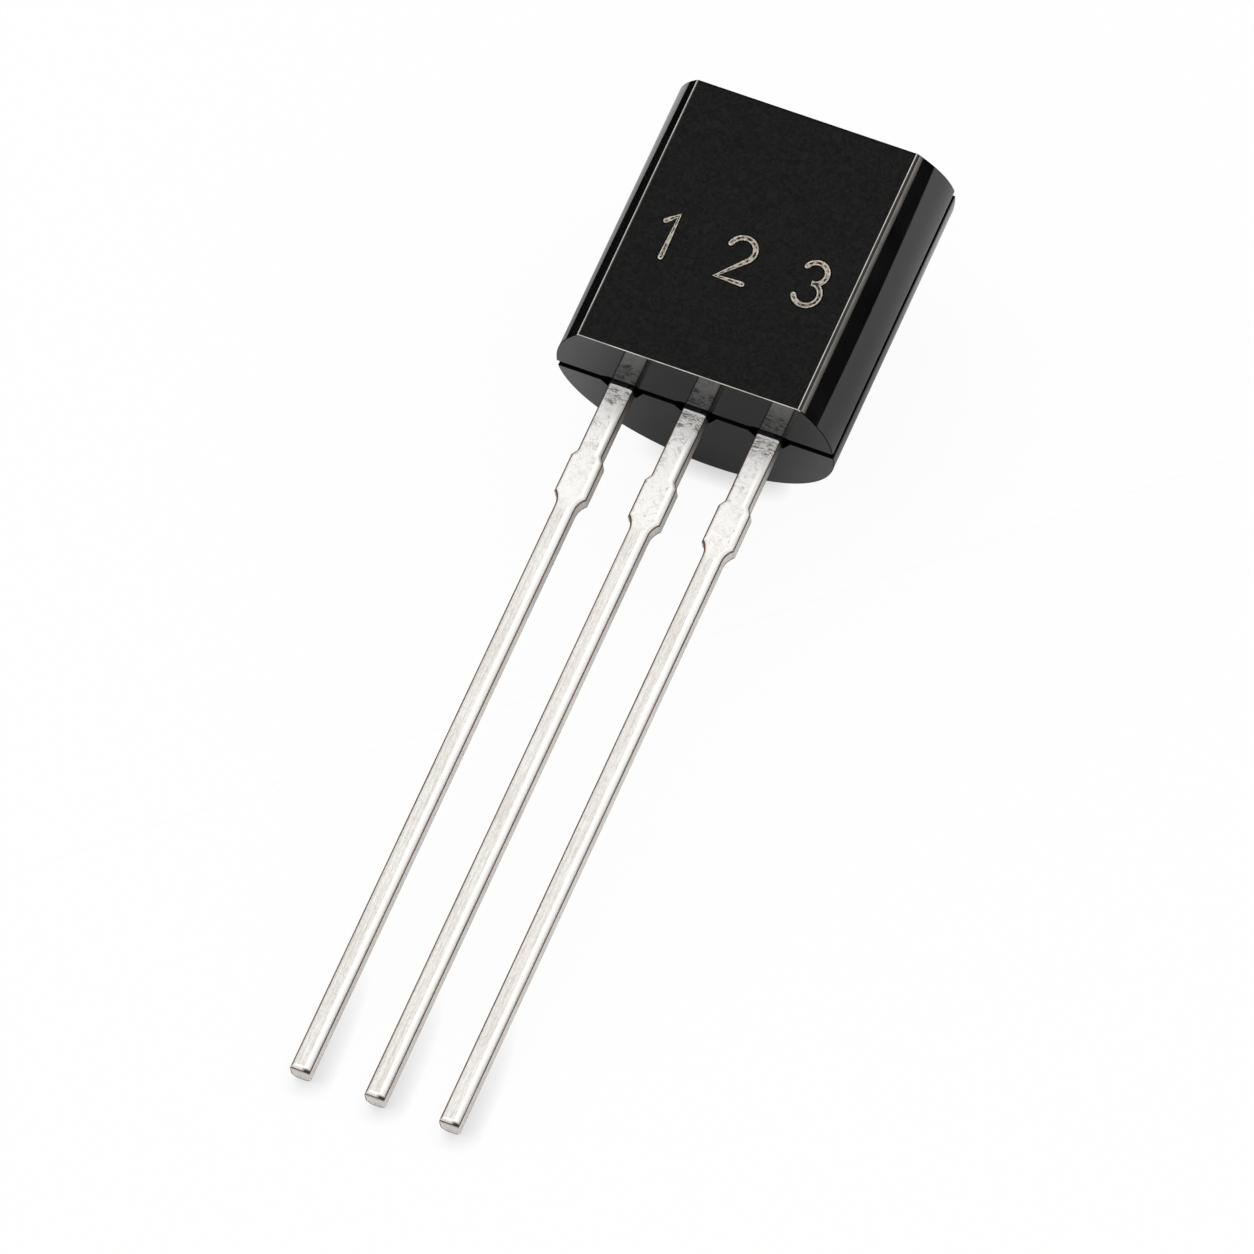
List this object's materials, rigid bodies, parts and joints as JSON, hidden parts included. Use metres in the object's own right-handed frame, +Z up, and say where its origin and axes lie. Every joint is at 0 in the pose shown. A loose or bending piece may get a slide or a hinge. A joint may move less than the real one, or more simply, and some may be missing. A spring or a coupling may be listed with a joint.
{
  "type": "to-92 transistor",
  "caption": "Through-hole transistor in the TO-92 outline: a black moulded body with a flat front and round back on straight stamped leads.",
  "frame": {"origin": "centre of the bounding box at the surface that the part lies on", "axes": "+X across the leads from emitter to collector, +Y towards the closed end of the body with the leads pointing to -Y, +Z up, out of the flat, which leans with the body by the angle at which it rests"},
  "size_m": [0.0048, 0.0176, 0.0043],
  "materials": {
    "epoxy": "moulded black epoxy, satin on the flat and glossy on the sides and ends",
    "tinned_lead": "stamped copper strip with a bright tin plating",
    "attach": "silver-filled epoxy",
    "silicon": "polished silicon",
    "gold_wire": "drawn gold wire"
  },
  "bodies": {
    "root": {"body": "epoxy", "emitter_lead": "tinned_lead", "base_lead": "tinned_lead", "collector_lead": "tinned_lead", "die_attach": "attach", "chip": "silicon", "emitter_wire": "gold_wire", "base_wire": "gold_wire"}
  },
  "joints": []
}
